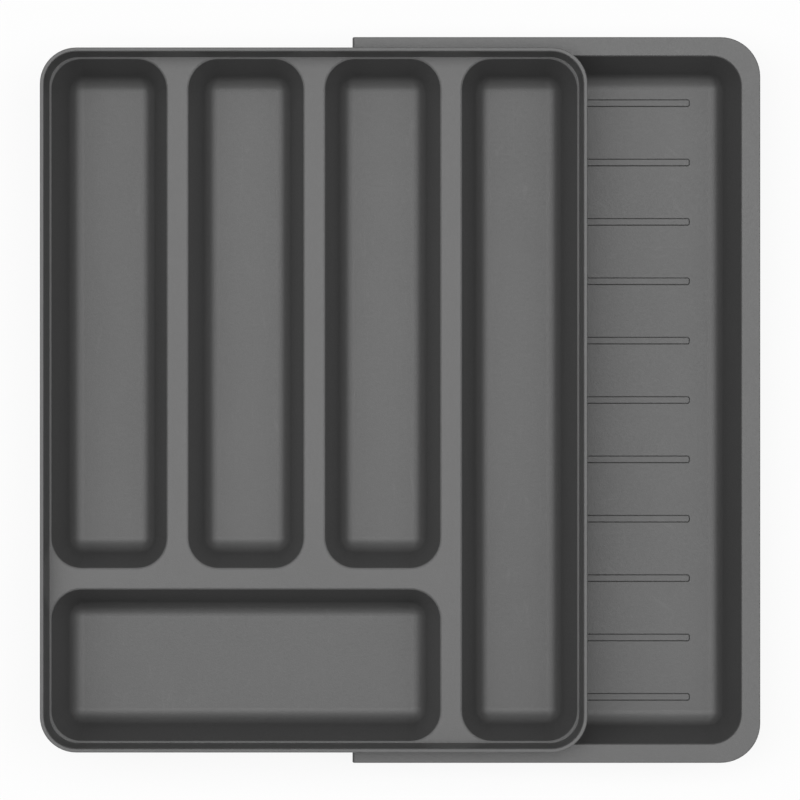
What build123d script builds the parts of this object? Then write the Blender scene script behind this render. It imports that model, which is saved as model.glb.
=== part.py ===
from build123d import *
import math
import os

# A drawer tray for cutlery that widens. The main tray, with five compartments and a raised lip,
# slides along X over a wider extension tray, whose floor carries it on low glide ribs.
# X runs to the right along the slide, Y to the back and Z up. The origin is on the drawer floor,
# under the middle of the whole tray as it stands partly pulled out. Lengths are in millimetres.

# Both mouldings
wall = 1.7  # thickness, square to the face
wall_draft = 16.5  # lean of the compartment walls from upright, in degrees
floor_radius = 8.0  # inside radius where a wall meets a floor, if the corners leave room for it
compartment_corner_radius = 15.3  # in plan, at the top of a compartment
edge_bevel = 0.4  # along the rim and the flange
corner_fill_share = 0.975  # most of a floor corner's plan radius that the floor radius may use up

# Main tray
back_compartments = 3
compartment_width = 58.3
back_compartment_length = 256.2
cross_compartment_length = 76.5  # the crosswise compartment, from front to back
compartment_depth = 30.0
divider_width = 10.5
ledge_width = 0.8  # strip of deck between a compartment and the foot of the lip
ledge_bevel_share = 0.75  # of the ledge, that the bevel along a compartment's edge takes
lip_height = 17.5  # from the deck to the rim
lip_draft = 5.2  # outward lean of the lip, in degrees
rim_width = 2.0  # flat top of the lip
rim_corner_radius = 18.2  # in plan, outside

# Extension tray
flange_width = 9.5
flange_corner_radius = 20.0  # in plan, outside
open_end_length = 205.2  # from the open left end to the outside of the right flange
skirt_height = 10.0  # down-turned outer edge of the flange
flange_end_radius = 1.5  # upper edge of the two flange ends beside the open end
rib_pitch = 30.25  # the floor takes as many ribs as fit on its flat
rib_width = 3.9  # at the floor
rib_height = 0.8
rib_draft = 35.0  # lean of a rib's sides from upright, in degrees
rib_corner = 0.8  # cut off each corner of a rib, in plan
rib_end_gap = 24.1  # from the right end of a rib to the top of the right wall
rib_open_gap = 12.0  # from the left end of a rib to the open end

# Fits between the two trays
glide_gap = 0.3  # above the ribs, and above the flange
side_gap = 0.32  # level gap between the main tray and the walls that it nests in
pulled_out = 81.0  # how far the extension stands out of its closed place

# Feet
foot_radius = 6.0
foot_rest_height = 1.5  # from the drawer floor to the underside of the extension tray
foot_recess = 0.5  # how far a foot goes into its tray
foot_gap = 0.2  # round a foot in its recess
foot_inset = 26.0  # from the top of the nearest walls, or the open end, to the middle of a foot

overrun = 5.0  # how far a cut runs past the face that it opens


def lean(height, angle):
    # how far a face that leans by angle moves sideways over height
    return height * math.tan(math.radians(angle))


# Heights
extension_floor = foot_rest_height + wall
rib_top = extension_floor + rib_height
main_underside = rib_top + glide_gap
main_floor = main_underside + wall
deck_top = main_floor + compartment_depth
deck_underside = deck_top - wall
rim_top = deck_top + lip_height
flange_top = deck_underside - glide_gap
extension_depth = flange_top - extension_floor

# Plan of the main tray
wall_across = wall / math.cos(math.radians(wall_draft))  # level thickness of a leaning wall
lip_run = lean(lip_height, lip_draft)
rim_margin = rim_width + lip_run + ledge_width  # from the outside of the rim to a compartment
compartment_bevel = ledge_bevel_share * ledge_width
column_pitch = compartment_width + divider_width
inside_width = back_compartments * column_pitch + compartment_width
inside_length = back_compartment_length + divider_width + cross_compartment_length
main_width = inside_width + 2 * rim_margin
main_length = inside_length + 2 * rim_margin

# Plan of the extension tray, which nests the main tray with the side gap all along
nest_offset = wall_across + side_gap - lean(deck_top - flange_top, wall_draft)
nest_length = inside_length + 2 * nest_offset
extension_length = nest_length + 2 * flange_width
flange_show = nest_offset + flange_width - rim_margin  # flange outside the rim when closed
rest_width = main_width + flange_show + pulled_out
main_left = -rest_width / 2
main_x = main_left + main_width / 2
inside_left = main_left + rim_margin
inside_front = -inside_length / 2
extension_right = rest_width / 2
nest_right = extension_right - flange_width
open_end = extension_right - open_end_length

# Middle, width and length of each compartment at the deck: back row, full length, crosswise
cross_compartment_width = back_compartments * column_pitch - divider_width
back_y = inside_length / 2 - back_compartment_length / 2
compartments = []
for column in range(back_compartments):
    x = inside_left + compartment_width / 2 + column * column_pitch
    compartments.append((x, back_y, compartment_width, back_compartment_length))
long_x = inside_left + inside_width - compartment_width / 2
compartments.append((long_x, 0, compartment_width, inside_length))
cross_x = inside_left + cross_compartment_width / 2
cross_y = inside_front + cross_compartment_length / 2
compartments.append((cross_x, cross_y, cross_compartment_width, cross_compartment_length))


half_turn = math.radians(45 - wall_draft / 2)  # half the turn from a leaning wall to the floor


def round_setback(radius):
    # how far a round of this radius reaches over the floor from the foot of a leaning wall
    return radius * math.tan(half_turn)


def bevel_setback(radius):
    # the same for a bevel that touches the middle of such a round
    return radius * (1 / math.cos(half_turn) - 1) / math.sin(half_turn)


def floor_round(depth):
    # radius along the floor of a hollow: as named, or what its corners leave room for
    floor_corner = compartment_corner_radius - lean(depth, wall_draft)
    return min(floor_radius, corner_fill_share * floor_corner / round_setback(1))


def hollow(x, y, top, width, length, depth):
    # a hollow's shape: rounded outline at its top, walls that lean in, rounded floor edge
    with BuildPart() as space:
        with BuildSketch(Plane((x, y, top))):
            RectangleRounded(width, length, compartment_corner_radius)
        extrude(amount=-depth, taper=wall_draft)
        fillet(space.faces().sort_by(Axis.Z)[0].edges(), radius=floor_round(depth))
    return space.part


def tub(x, y, top, width, length, depth):
    # the outside of the walls and floor round such a hollow, bevelled where the hollow is rounded
    with BuildPart() as outside:
        with BuildSketch(Plane((x, y, top))):
            RectangleRounded(
                width + 2 * wall_across,
                length + 2 * wall_across,
                compartment_corner_radius + wall_across,
            )
        extrude(amount=-(depth + wall), taper=wall_draft)
        floor_edges = outside.faces().sort_by(Axis.Z)[0].edges()
        chamfer(floor_edges, length=bevel_setback(floor_round(depth) + wall))
    return outside.part


def foot_recesses(feet, underside):
    # shallow round seats for the feet, open below
    with BuildPart() as seats:
        for x, y in feet:
            with BuildSketch(Plane((x, y, underside - overrun))):
                Circle(foot_radius + foot_gap)
            extrude(amount=overrun + foot_recess)
    return seats.part


def foot(x, y, underside):
    # a soft round stud from the drawer floor up into its seat
    with BuildPart() as stud:
        with BuildSketch(Plane((x, y, 0))):
            Circle(foot_radius)
        extrude(amount=underside + foot_recess)
    return stud.part


# Where the feet stand
main_foot_x = inside_left + foot_inset
main_foot_y = inside_length / 2 - foot_inset
main_feet = {
    "main_foot_back": (main_foot_x, main_foot_y),
    "main_foot_front": (main_foot_x, -main_foot_y),
}
extension_foot_y = nest_length / 2 - foot_inset
extension_feet = {
    "extension_foot_back_left": (open_end + foot_inset, extension_foot_y),
    "extension_foot_back_right": (nest_right - foot_inset, extension_foot_y),
    "extension_foot_front_left": (open_end + foot_inset, -extension_foot_y),
    "extension_foot_front_right": (nest_right - foot_inset, -extension_foot_y),
}

# Main tray: one hull round all five hollows, a deck between them and a flared lip above it
spaces = []
divider_faces = []
for x, y, width, length in compartments:
    spaces.append(hollow(x, y, deck_top, width, length, compartment_depth))
    divider_faces.append(tub(x, y, deck_top, width, length, compartment_depth))
main_hull = tub(main_x, 0, deck_top, inside_width, inside_length, compartment_depth)
main_recesses = foot_recesses(main_feet.values(), main_underside)

# The dividers are hollow from below: what the hull holds between the compartments' own walls
deck_run = lean(wall, wall_draft)
with BuildPart() as divider_hollows:
    with BuildSketch(Plane((main_x, 0, deck_underside))):
        RectangleRounded(
            inside_width - 2 * deck_run,
            inside_length - 2 * deck_run,
            compartment_corner_radius - deck_run,
        )
    extrude(amount=-(compartment_depth + overrun), taper=wall_draft)
    for divider_face in divider_faces:
        add(divider_face, mode=Mode.SUBTRACT)

rim_drop = lean(rim_top - deck_underside, lip_draft)  # how far the lip's outside leans over its height
with BuildPart() as main_tray:
    with BuildSketch(Plane((main_x, 0, deck_underside))):
        RectangleRounded(
            main_width - 2 * rim_drop,
            main_length - 2 * rim_drop,
            rim_corner_radius - rim_drop,
        )
    extrude(amount=rim_top - deck_underside, taper=-lip_draft)
    add(main_hull)
    with BuildSketch(Plane((main_x, 0, deck_top))):
        RectangleRounded(
            inside_width + 2 * ledge_width,
            inside_length + 2 * ledge_width,
            rim_corner_radius - rim_width - lip_run,
        )
    extrude(amount=lip_height, taper=-lip_draft, mode=Mode.SUBTRACT)
    chamfer(main_tray.edges().group_by(Axis.Z)[-1], length=edge_bevel)
    add(divider_hollows.part, mode=Mode.SUBTRACT)
    add(main_recesses, mode=Mode.SUBTRACT)
    for space in spaces:
        add(space, mode=Mode.SUBTRACT)
        top_edges = main_tray.edges(Select.LAST).filter_by_position(Axis.Z, deck_top, deck_top)
        chamfer(top_edges, length=compartment_bevel)
main_tray.part.label = "main_tray"

# Extension tray: one wide tub, cut open on the left, with a flange that has a down-turned edge
tub_left = open_end - flange_corner_radius - overrun
tub_width = nest_right - tub_left
tub_x = (nest_right + tub_left) / 2
extension_hull = tub(tub_x, 0, flange_top, tub_width, nest_length, extension_depth)
extension_space = hollow(tub_x, 0, flange_top, tub_width, nest_length, extension_depth)
extension_recesses = foot_recesses(extension_feet.values(), foot_rest_height)
rib_right = nest_right - rib_end_gap
rib_left = open_end + rib_open_gap
rib_length = rib_right - rib_left
floor_edge = lean(extension_depth, wall_draft) + round_setback(floor_radius)
flat_length = nest_length - 2 * floor_edge
rib_count = int((flat_length - rib_width) / rib_pitch) + 1

with BuildPart() as cut_hull:
    add(extension_hull)
    split(bisect_by=Plane.YZ.offset(open_end), keep=Keep.TOP)

with BuildPart() as extension_tray:
    with BuildSketch(Plane.XY.offset(flange_top - skirt_height)) as flange_outline:
        with BuildLine():
            back = extension_length / 2
            Polyline(
                (open_end, -back),
                (extension_right, -back),
                (extension_right, back),
                (open_end, back),
                close=True,
            )
        make_face()
        fillet(flange_outline.vertices().group_by(Axis.X)[-1], radius=flange_corner_radius)
    extrude(amount=skirt_height)
    fillet(extension_tray.edges().group_by(Axis.Z)[-1].sort_by(Axis.X)[0], radius=flange_end_radius)
    chamfer(extension_tray.edges().group_by(Axis.Z)[-1].sort_by(Axis.X)[1:], length=edge_bevel)
    with BuildSketch(Plane.XY.offset(flange_top - skirt_height)):
        add(flange_outline.sketch)
        offset(amount=-wall, mode=Mode.REPLACE)
    extrude(amount=skirt_height - wall, mode=Mode.SUBTRACT)
    add(cut_hull.part)
    add(extension_space, mode=Mode.SUBTRACT)
    top_edges = extension_tray.edges(Select.LAST).filter_by_position(Axis.Z, flange_top, flange_top)
    nest_start = open_end + flange_end_radius
    nest_edges = top_edges.filter_by_position(Axis.X, nest_start, nest_right, inclusive=(False, True))
    chamfer(nest_edges, length=edge_bevel)
    add(extension_recesses, mode=Mode.SUBTRACT)
    with BuildSketch(Plane((rib_left + rib_length / 2, 0, extension_floor))) as rib_outlines:
        with GridLocations(0, rib_pitch, 1, rib_count):
            Rectangle(rib_length, rib_width)
        chamfer(rib_outlines.vertices(), length=rib_corner)
    extrude(amount=rib_height, taper=rib_draft)
extension_tray.part.label = "extension_tray"

os.makedirs("parts", exist_ok=True)
export_step(main_tray.part, "parts/main_tray.step")
export_step(extension_tray.part, "parts/extension_tray.step")
for name, (x, y) in main_feet.items():
    stud = foot(x, y, main_underside)
    stud.label = name
    export_step(stud, f"parts/{name}.step")
for name, (x, y) in extension_feet.items():
    stud = foot(x, y, foot_rest_height)
    stud.label = name
    export_step(stud, f"parts/{name}.step")
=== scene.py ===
import math

import bpy
import numpy as np
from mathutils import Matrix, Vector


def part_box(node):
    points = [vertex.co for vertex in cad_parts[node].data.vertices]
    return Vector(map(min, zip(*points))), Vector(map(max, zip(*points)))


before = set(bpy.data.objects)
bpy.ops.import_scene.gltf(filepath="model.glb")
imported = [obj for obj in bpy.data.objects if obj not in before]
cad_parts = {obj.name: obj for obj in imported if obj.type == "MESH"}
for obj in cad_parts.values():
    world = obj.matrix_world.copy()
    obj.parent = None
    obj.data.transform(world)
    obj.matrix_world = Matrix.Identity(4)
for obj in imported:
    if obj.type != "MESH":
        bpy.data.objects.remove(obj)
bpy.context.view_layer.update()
trays = {name: node for name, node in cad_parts.items() if name.endswith("tray")}
feet = {name: node for name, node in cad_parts.items() if "foot" in name}
print("model loaded:", len(trays), "trays on", len(feet), "feet")


# small helpers for shader nodes
def addNode(tree, kind, values=None, **settings):
    node = tree.nodes.new(kind)
    for name, value in settings.items():
        setattr(node, name, value)
    for socket, value in (values or {}).items():
        if isinstance(value, bpy.types.NodeSocket):
            tree.links.new(value, node.inputs[socket])
        else:
            node.inputs[socket].default_value = value
    return node


def mathNode(tree, operation, first, second=0.0, clamp=False):
    node = addNode(tree, "ShaderNodeMath", {0: first, 1: second}, operation=operation, use_clamp=clamp)
    return node.outputs[0]


def product(tree, first, *others):
    for other in others:
        first = mathNode(tree, "MULTIPLY", first, other)
    return first


def ramp(tree, value, low, high, start=0.0, end=1.0):  # smooth step from low to high
    values = {"Value": value, "From Min": low, "From Max": high, "To Min": start, "To Max": end}
    return addNode(tree, "ShaderNodeMapRange", values, interpolation_type="SMOOTHSTEP").outputs["Result"]


def blendValues(tree, factor, first, second):
    return addNode(tree, "ShaderNodeMix", {0: factor, 2: first, 3: second}, data_type="FLOAT").outputs[0]


def blendColours(tree, factor, first, second, mode="MIX"):
    values = {0: factor, 6: first, 7: second}
    return addNode(tree, "ShaderNodeMix", values, data_type="RGBA", blend_type=mode).outputs[2]


def noise(tree, position, scale, detail, distortion=0.0, roughness=0.5):  # around 0.5
    values = {
        "Vector": position, "Scale": scale, "Detail": detail, "Distortion": distortion,
        "Roughness": roughness,
    }
    return addNode(tree, "ShaderNodeTexNoise", values).outputs["Fac"]


def swing(tree, value, share):  # share * (value - 0.5)
    return mathNode(tree, "MULTIPLY", mathNode(tree, "SUBTRACT", value, 0.5), share)


def grey(level):
    return (level, level, level, 1.0)


def shadeBy(tree, colour, value, share):  # colour times 1 + share * (value - 0.5)
    level = mathNode(tree, "ADD", swing(tree, value, share), 1.0)
    shade = addNode(tree, "ShaderNodeCombineColor", {"Red": level, "Green": level, "Blue": level})
    return blendColours(tree, 1.0, colour, shade.outputs["Color"], "MULTIPLY")


def startMaterial(name):
    material = bpy.data.materials.new(name)
    material.use_nodes = True
    return material, material.node_tree, material.node_tree.nodes["Principled BSDF"]


def startGroup(name, inputs, outputs):  # (label, short kind, default) in, (label, short kind) out
    kinds = {"value": "NodeSocketFloat", "vector": "NodeSocketVector", "colour": "NodeSocketColor"}
    group = bpy.data.node_groups.new(name, "ShaderNodeTree")
    for label, kind, default in inputs:
        socket = group.interface.new_socket(name=label, in_out="INPUT", socket_type=kinds[kind])
        if default is not None:
            socket.default_value = default
    for label, kind in outputs:
        group.interface.new_socket(name=label, in_out="OUTPUT", socket_type=kinds[kind])
    return group, group.nodes.new("NodeGroupInput").outputs, group.nodes.new("NodeGroupOutput").inputs


def putGroup(tree, group, values):
    node = addNode(tree, "ShaderNodeGroup", values, node_tree=group, name=group.name, label=group.name)
    return node.outputs


# grain: the fine spark-eroded skin that a mould leaves on plastic
grainLook = dict(
    pit=(0.1, 0.8),  # from a pit's bottom to its rim, in grain sizes
    coarseScale=0.28,  # of a slower noise mixed with the pits
    coarseDetail=1.0,
    coarseShare=0.55,
)


def makeMouldedGrain(look):
    group, given, out = startGroup(
        "mouldedGrain",
        [("Position", "vector", None), ("Grain Size", "value", 0.0004)],
        [("Height", "value"), ("Speck", "value")],
    )
    perMetre = mathNode(group, "DIVIDE", 1.0, given["Grain Size"])
    cells = addNode(group, "ShaderNodeTexVoronoi", {"Vector": given["Position"], "Scale": perMetre})
    pits = ramp(group, cells.outputs["Distance"], *look["pit"])
    coarseScale = product(group, perMetre, look["coarseScale"])
    coarse = noise(group, given["Position"], coarseScale, look["coarseDetail"])
    group.links.new(blendValues(group, look["coarseShare"], pits, coarse), out["Height"])
    group.links.new(coarse, out["Speck"])
    return group


# drift: slow, faint changes of shade from the flow of the melt
driftLook = dict(cloudDetail=2.0, cloudTwist=0.8, mottleDetail=3.0, mottleShare=0.35)


def makeShadeDrift(look):
    group, given, out = startGroup(
        "shadeDrift",
        [
            ("Colour", "colour", grey(0.1)), ("Position", "vector", None), ("Cloud Size", "value", 0.12),
            ("Mottle Size", "value", 0.012), ("Amount", "value", 0.1),
        ],
        [("Colour", "colour"), ("Drift", "value")],
    )
    cloudScale = mathNode(group, "DIVIDE", 1.0, given["Cloud Size"])
    mottleScale = mathNode(group, "DIVIDE", 1.0, given["Mottle Size"])
    clouds = noise(group, given["Position"], cloudScale, look["cloudDetail"], look["cloudTwist"])
    mottle = noise(group, given["Position"], mottleScale, look["mottleDetail"])
    drift = blendValues(group, look["mottleShare"], clouds, mottle)
    group.links.new(shadeBy(group, given["Colour"], drift, given["Amount"]), out["Colour"])
    group.links.new(drift, out["Drift"])
    return group


# wear: softened edges, and where hands and cutlery have burnished them; on the trays the colour also takes
# a painted highlight along the edges from this mask
wearLook = dict(
    samples=3,
    edge=(0.9995, 0.98),  # how alike the softened and the true normal are, unworn to worn
    reach=2.5,  # how far other faces are looked for, in radii of the softened edge
    outer=(0.62, 0.85),  # how open an edge lies: inner corners don't wear
    patchDetail=4.0,
    patchRoughness=0.65,
    patch=(0.4, 0.62),
    leastRubbed=0.35,
)


def makeEdgeWear(look):
    group, given, out = startGroup(
        "edgeWear",
        [("Position", "vector", None), ("Round", "value", 0.0006), ("Patch Size", "value", 0.009)],
        [("Wear", "value"), ("Normal", "vector")],
    )
    rounded = addNode(group, "ShaderNodeBevel", {"Radius": given["Round"]}, samples=look["samples"])
    geometry = addNode(group, "ShaderNodeNewGeometry")
    alike = addNode(
        group, "ShaderNodeVectorMath", {0: rounded.outputs["Normal"], 1: geometry.outputs["Normal"]},
        operation="DOT_PRODUCT",
    )
    edge = ramp(group, alike.outputs["Value"], *look["edge"])
    openness = addNode(
        group, "ShaderNodeAmbientOcclusion", {"Distance": product(group, given["Round"], look["reach"])},
        samples=look["samples"], only_local=True,
    )
    outer = ramp(group, openness.outputs["AO"], *look["outer"])
    patchScale = mathNode(group, "DIVIDE", 1.0, given["Patch Size"])
    patches = noise(
        group, given["Position"], patchScale, look["patchDetail"], roughness=look["patchRoughness"]
    )
    rubbed = ramp(group, patches, *look["patch"], start=look["leastRubbed"])
    group.links.new(product(group, edge, outer, rubbed), out["Wear"])
    group.links.new(rounded.outputs["Normal"], out["Normal"])
    return group


# scratches: hair-thin lines that follow the way things slide in and out
scratchLook = dict(
    sets=((1.0, 1.0), (-0.6, 1.7)),  # turn and gap of two crossing sets, the second one sparser
    detail=1.0,
    bend=0.2,
    line=(0.012, 0.002),  # how far the noise is from its middle, at a line's edge and at its core
    gateScale=45.0,  # the lines come and go in patches
    gateDetail=2.0,
    gate=(0.5, 0.66),
)


def makeFineScratches(look):
    group, given, out = startGroup(
        "fineScratches",
        [
            ("Position", "vector", None), ("Spacing", "value", 0.004), ("Length", "value", 0.06),
            ("Turn", "value", 0.1),
        ],
        [("Lines", "value")],
    )
    parts = []
    for turn, gap in look["sets"]:
        turned = addNode(
            group, "ShaderNodeVectorRotate",
            {"Vector": given["Position"], "Angle": product(group, given["Turn"], turn)},
            rotation_type="Z_AXIS",
        )
        across = mathNode(group, "DIVIDE", 1.0 / gap, given["Spacing"])
        along = mathNode(group, "DIVIDE", 1.0 / gap, given["Length"])
        stretch = addNode(group, "ShaderNodeCombineXYZ", {"X": across, "Y": along, "Z": across})
        stretched = addNode(
            group, "ShaderNodeVectorMath", {0: turned.outputs["Vector"], 1: stretch.outputs["Vector"]},
            operation="MULTIPLY",
        )
        field = noise(group, stretched.outputs["Vector"], 1.0, look["detail"], look["bend"])
        off = mathNode(group, "ABSOLUTE", mathNode(group, "SUBTRACT", field, 0.5))
        gate = noise(group, given["Position"], look["gateScale"] * gap, look["gateDetail"])
        parts.append(product(group, ramp(group, off, *look["line"]), ramp(group, gate, *look["gate"])))
    group.links.new(mathNode(group, "MAXIMUM", *parts), out["Lines"])
    return group


groups = {
    "grain": makeMouldedGrain(grainLook),
    "drift": makeShadeDrift(driftLook),
    "wear": makeEdgeWear(wearLook),
    "scratches": makeFineScratches(scratchLook),
}
print("node groups:", ", ".join(group.name for group in groups.values()))


# matt charcoal plastic of the two trays
mainPlastic = dict(
    colour=0.064,
    roughness=0.40,
    speckRoughness=0.12,
    cloudRoughness=0.10,
    grainSize=0.00042,
    grainDepth=0.00005,
    pitPaintedShade=0.25,  # painted shade makes the pits of the grain a little darker
    driftAmount=0.08,
    cloudSize=0.13,
    mottleSize=0.012,
    patternOffset=(0.0, 0.0, 0.0),
    edgeRound=0.0002,
    wornPatch=0.009,
    # worn edges are painted paler: partly real wear, partly a painted highlight along the rims and edges
    wornAndHighlightColour=0.17,
    wornShare=0.7,
    wornRoughness=0.35,
    scratchSpacing=0.004,
    scratchLength=0.06,
    scratchTurn=0.09,
    scratchShare=0.04,
    scratchPolish=0.25,
    scratchDepth=0.000001,
    floorDepth=0.0475,  # from the top of the tray down to its inside floor
    floorRoughness=0.45,  # floors come off a coarser part of the mould
    floorRise=(0.004, 0.0015),  # heights above the floor where its finish starts and is full
    floorFacing=(0.6, 0.97),  # a facing is 0 on an upright wall and 1 on a flat floor
    paintedShadeShare=0.18,  # painted shade darkens the round at the foot of the walls a little
    paintedShadeHeight=0.010,
    paintedShadeWallFacing=(0.6, 0.88),
    paintedShadeFloorFacing=(0.9995, 0.975),
    brinkDepth=0.0175,  # from the top down to the deck, where each compartment has its bevelled brink
    brinkHeight=0.0006,
    brinkStart=(0.00001, 0.00005),
    brinkFade=0.00015,
    brinkFacing=(0.4, 0.5),
    brinkHighlight=0.5,  # the brink is painted paler: a painted highlight along its bevel
)
extensionPlastic = dict(
    mainPlastic,
    floorDepth=0.0308,
    brinkDepth=0.0,
    brinkHighlight=0.0,
    paintedShadeShare=0.0,
    wornShare=0.5,
    scratchTurn=1.50,  # the upper tray slides across this one
    patternOffset=(0.37, -0.21, 0.15),
)


def trayMasks(tree, spot, look, top):
    height = addNode(tree, "ShaderNodeSeparateXYZ", {0: spot.outputs["Object"]}).outputs["Z"]
    facing = addNode(tree, "ShaderNodeSeparateXYZ", {0: spot.outputs["Normal"]}).outputs["Z"]

    # floors: flat, facing up, and low
    aboveFloor = mathNode(tree, "SUBTRACT", height, top - look["floorDepth"])
    low = ramp(tree, aboveFloor, *look["floorRise"])
    floors = product(tree, low, ramp(tree, facing, *look["floorFacing"]))

    # painted shade: darker on the round at the foot of the walls
    footOfWall = ramp(tree, aboveFloor, look["paintedShadeHeight"], 0.0)
    offWall = ramp(tree, facing, *look["paintedShadeWallFacing"])
    offFloor = ramp(tree, facing, *look["paintedShadeFloorFacing"])
    paintedShade = product(tree, footOfWall, offWall, offFloor)

    # brinks: the bevel between the deck and each compartment, where a highlight is painted
    belowDeck = mathNode(tree, "SUBTRACT", top - look["brinkDepth"], height)
    upper = ramp(tree, belowDeck, *look["brinkStart"])
    lower = ramp(tree, belowDeck, look["brinkHeight"] + look["brinkFade"], look["brinkHeight"])
    brinks = product(tree, upper, lower, ramp(tree, facing, *look["brinkFacing"]))
    return floors, paintedShade, brinks


def makeTrayPlastic(name, look, top):
    material, tree, shader = startMaterial(name)
    spot = addNode(tree, "ShaderNodeTexCoord")
    moved = addNode(
        tree, "ShaderNodeMapping", {"Vector": spot.outputs["Object"], "Location": look["patternOffset"]}
    ).outputs["Vector"]
    floors, paintedShade, brinks = trayMasks(tree, spot, look, top)
    grain = putGroup(tree, groups["grain"], {"Position": moved, "Grain Size": look["grainSize"]})
    drift = putGroup(
        tree, groups["drift"],
        {"Colour": grey(look["colour"]), "Position": moved, "Cloud Size": look["cloudSize"],
         "Mottle Size": look["mottleSize"], "Amount": look["driftAmount"]},
    )
    wear = putGroup(
        tree, groups["wear"],
        {"Position": moved, "Round": look["edgeRound"], "Patch Size": look["wornPatch"]},
    )
    scratches = putGroup(
        tree, groups["scratches"],
        {"Position": moved, "Spacing": look["scratchSpacing"], "Length": look["scratchLength"],
         "Turn": look["scratchTurn"]},
    )
    lines = product(tree, scratches["Lines"], floors)

    # colour: grey that drifts slowly, with painted shade in the grain's pits and at the foot of the walls,
    # paler where worn, with a painted highlight on edges and brinks
    # painted shade: the grain's pits are darkened in the colour
    pitShaded = shadeBy(tree, drift["Colour"], grain["Height"], look["pitPaintedShade"])
    # painted shade: the foot of the walls is blended towards black
    footShaded = blendColours(tree, product(tree, paintedShade, look["paintedShadeShare"]), pitShaded, grey(0.0))
    # edge colour: real wear together with a painted highlight
    edgeShare = product(tree, wear["Wear"], look["wornShare"])
    # worn edges and the brinks' painted highlight, whichever is stronger
    rubbed = mathNode(tree, "MAXIMUM", edgeShare, product(tree, brinks, look["brinkHighlight"]))
    worn = blendColours(tree, rubbed, footShaded, grey(look["wornAndHighlightColour"]))
    scratched = product(tree, lines, look["scratchShare"])
    colour = blendColours(tree, scratched, worn, grey(look["wornAndHighlightColour"]))
    tree.links.new(colour, shader.inputs["Base Color"])

    # roughness: the same masks, with a fine speck from the grain
    matt = blendValues(tree, floors, look["roughness"], look["floorRoughness"])
    specks = swing(tree, grain["Speck"], look["speckRoughness"])
    cloudy = swing(tree, drift["Drift"], look["cloudRoughness"])
    uneven = mathNode(tree, "ADD", matt, mathNode(tree, "ADD", specks, cloudy))
    polished = mathNode(tree, "MAXIMUM", wear["Wear"], product(tree, lines, look["scratchPolish"]))
    roughness = blendValues(tree, polished, uneven, look["wornRoughness"])
    tree.links.new(roughness, shader.inputs["Roughness"])

    # relief: grain over softened edges, scratches cut into the floors
    relief = product(tree, grain["Height"], look["grainDepth"])
    cut = product(tree, lines, look["scratchDepth"])
    bump = addNode(
        tree, "ShaderNodeBump",
        {"Strength": 1.0, "Distance": 1.0, "Height": mathNode(tree, "SUBTRACT", relief, cut),
         "Normal": wear["Normal"]},
    )
    tree.links.new(bump.outputs["Normal"], shader.inputs["Normal"])
    return material


# soft black rubber of the feet
footRubber = dict(
    colour=0.026,
    roughness=0.82,
    cloudRoughness=0.3,
    grainSize=0.0005,
    grainDepth=0.00003,
    driftAmount=0.6,
    cloudSize=0.008,
    mottleSize=0.0015,
    dustColour=0.075,
    dustSpeck=(0.45, 0.75),
    dustShare=0.35,
    edgeRound=0.0005,
    wornPatch=0.003,
    wornShare=0.5,  # rubbed edges take the colour of the dust
)


def makeFootRubber(look):
    material, tree, shader = startMaterial("footRubber")
    spot = addNode(tree, "ShaderNodeTexCoord").outputs["Object"]
    grain = putGroup(tree, groups["grain"], {"Position": spot, "Grain Size": look["grainSize"]})
    drift = putGroup(
        tree, groups["drift"],
        {"Colour": grey(look["colour"]), "Position": spot, "Cloud Size": look["cloudSize"],
         "Mottle Size": look["mottleSize"], "Amount": look["driftAmount"]},
    )
    wear = putGroup(
        tree, groups["wear"],
        {"Position": spot, "Round": look["edgeRound"], "Patch Size": look["wornPatch"]},
    )
    dusty = product(tree, ramp(tree, grain["Speck"], *look["dustSpeck"]), look["dustShare"])
    dusted = blendColours(tree, dusty, drift["Colour"], grey(look["dustColour"]))
    rubbed = product(tree, wear["Wear"], look["wornShare"])
    colour = blendColours(tree, rubbed, dusted, grey(look["dustColour"]))
    tree.links.new(colour, shader.inputs["Base Color"])
    uneven = swing(tree, drift["Drift"], look["cloudRoughness"])
    tree.links.new(mathNode(tree, "ADD", uneven, look["roughness"]), shader.inputs["Roughness"])
    bump = addNode(
        tree, "ShaderNodeBump",
        {"Strength": 1.0, "Distance": look["grainDepth"], "Height": grain["Height"],
         "Normal": wear["Normal"]},
    )
    tree.links.new(bump.outputs["Normal"], shader.inputs["Normal"])
    return material


def topOf(node):
    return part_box(node)[1][2]


def dress(node, material):
    node.data.materials.clear()
    node.data.materials.append(material)


trayMaterials = {
    "main_tray": makeTrayPlastic("mainTrayPlastic", mainPlastic, topOf("main_tray")),
    "extension_tray": makeTrayPlastic("extensionTrayPlastic", extensionPlastic, topOf("extension_tray")),
}
rubber = makeFootRubber(footRubber)
for name, node in trays.items():
    dress(node, trayMaterials[name])
for node in feet.values():
    dress(node, rubber)
print("materials:", ", ".join(material.name for material in trayMaterials.values()), "and", rubber.name)


# floor: a round white sheet that shows from above only, its glow keeps a little of the shadow
floorLook = dict(
    radius=6.0,
    height=-0.00005,
    rings=24,
    sides=96,
    colour=0.92,
    roughness=1.0,
    gloss=0.0,
    glow=0.88,
)


def seenRays(tree):  # 1 for rays that look at the background: camera, gloss, glass
    path = addNode(tree, "ShaderNodeLightPath").outputs
    seen = mathNode(tree, "ADD", path["Is Camera Ray"], path["Is Glossy Ray"])
    return mathNode(tree, "ADD", seen, path["Is Transmission Ray"], clamp=True)


def mixShaders(tree, factor, first, second):
    return addNode(tree, "ShaderNodeMixShader", {0: factor, 1: first, 2: second}).outputs["Shader"]


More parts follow.
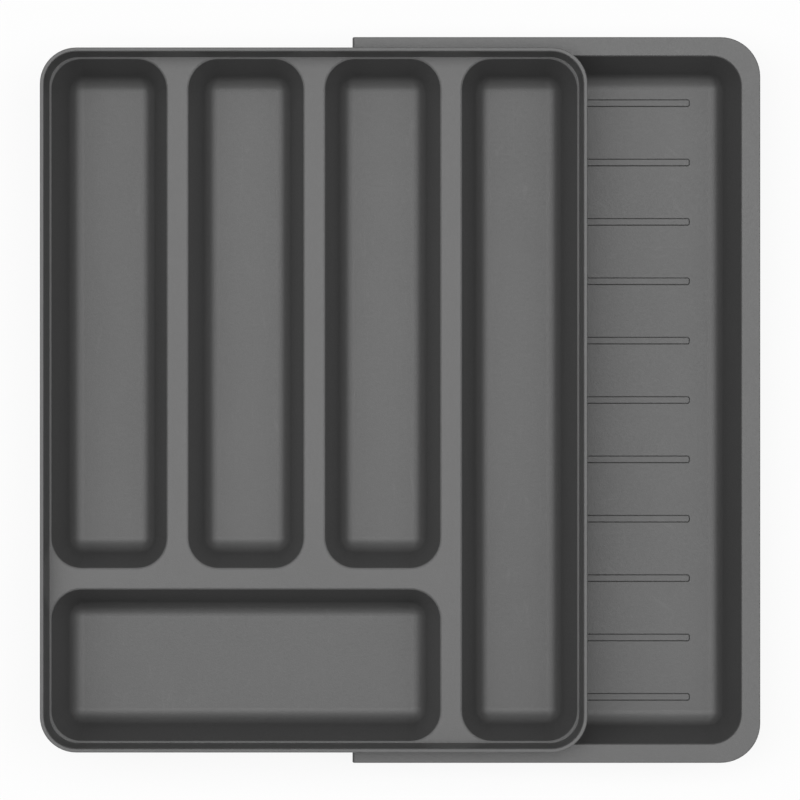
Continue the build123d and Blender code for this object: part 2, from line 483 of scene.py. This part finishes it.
def makeFloorWhite(look):
    material, tree, shader = startMaterial("floorWhite")
    shader.inputs["Base Color"].default_value = grey(look["colour"])
    shader.inputs["Roughness"].default_value = look["roughness"]
    shader.inputs["Specular IOR Level"].default_value = look["gloss"]
    glow = addNode(tree, "ShaderNodeEmission", {"Color": grey(1.0), "Strength": 1.0})
    clear = addNode(tree, "ShaderNodeBsdfTransparent")
    below = addNode(tree, "ShaderNodeNewGeometry").outputs["Backfacing"]
    glowing = product(tree, seenRays(tree), look["glow"])
    lit = mixShaders(tree, glowing, shader.outputs["BSDF"], glow.outputs["Emission"])
    surface = mixShaders(tree, below, lit, clear.outputs["BSDF"])
    tree.links.new(surface, tree.nodes["Material Output"].inputs["Surface"])
    return material


def makeFloor(look):
    # flat disc: x = r cos a and y = r sin a, where r grows as the square of the ring's number
    rings, sides = look["rings"], look["sides"]
    share = np.linspace(0.0, 1.0, rings + 1)[1:]
    angle = np.linspace(0.0, 2 * math.pi, sides, endpoint=False)
    radii = look["radius"] * share[:, None] ** 2
    x = radii * np.cos(angle)
    y = radii * np.sin(angle)
    points = np.stack([x, y, np.full_like(x, look["height"])], axis=-1).reshape(-1, 3)
    ring, side = np.meshgrid(np.arange(rings - 1), np.arange(sides), indexing="ij")
    following = (side + 1) % sides
    inner, outer = ring * sides, (ring + 1) * sides
    corners = [inner + side, outer + side, outer + following, inner + following]
    quads = np.stack(corners, axis=-1).reshape(-1, 4)
    centre = tuple(range(sides))
    mesh = bpy.data.meshes.new("floor")
    mesh.from_pydata(points.tolist(), [], [centre] + quads.tolist())
    mesh.materials.append(makeFloorWhite(look))
    floor = bpy.data.objects.new("floor", mesh)
    bpy.context.scene.collection.objects.link(floor)


makeFloor(floorLook)

# light: one wide overhead lamp, a little to the back left, in a white room
studio = dict(lampPlace=(-0.20, 0.55, 6.0), lampWidth=14.0, lampLength=4.4, lampPower=482.0, roomLight=0.15)

world = bpy.data.worlds.new("whiteRoom")
world.use_nodes = True
room = world.node_tree
background = room.nodes["Background"]
background.inputs["Color"].default_value = grey(1.0)
room.links.new(blendValues(room, seenRays(room), studio["roomLight"], 1.0), background.inputs["Strength"])
bpy.context.scene.world = world

lampData = bpy.data.lights.new("overheadLamp", "AREA")
lampData.shape = "ELLIPSE"
lampData.size = studio["lampWidth"]
lampData.size_y = studio["lampLength"]
lampData.energy = studio["lampPower"]
lamp = bpy.data.objects.new("overheadLamp", lampData)
lampX, lampY, lampZ = studio["lampPlace"]
lamp.location = studio["lampPlace"]
lamp.rotation_euler = (-math.atan2(lampY, lampZ), math.atan2(lampX, lampZ), 0.0)  # towards the trays
bpy.context.scene.collection.objects.link(lamp)

# camera: straight above, as in the photograph
cameraLook = dict(place=(-0.00073, 0.0, 2.434), lens=214.65, clipEnd=50.0)

cameraData = bpy.data.cameras.new("camera")
cameraData.lens = cameraLook["lens"]
cameraData.clip_end = cameraLook["clipEnd"]
camera = bpy.data.objects.new("camera", cameraData)
camera.location = cameraLook["place"]
bpy.context.scene.collection.objects.link(camera)
bpy.context.scene.camera = camera
bpy.context.scene.view_settings.view_transform = "Standard"
print("floor, lamp, room and camera are in place")
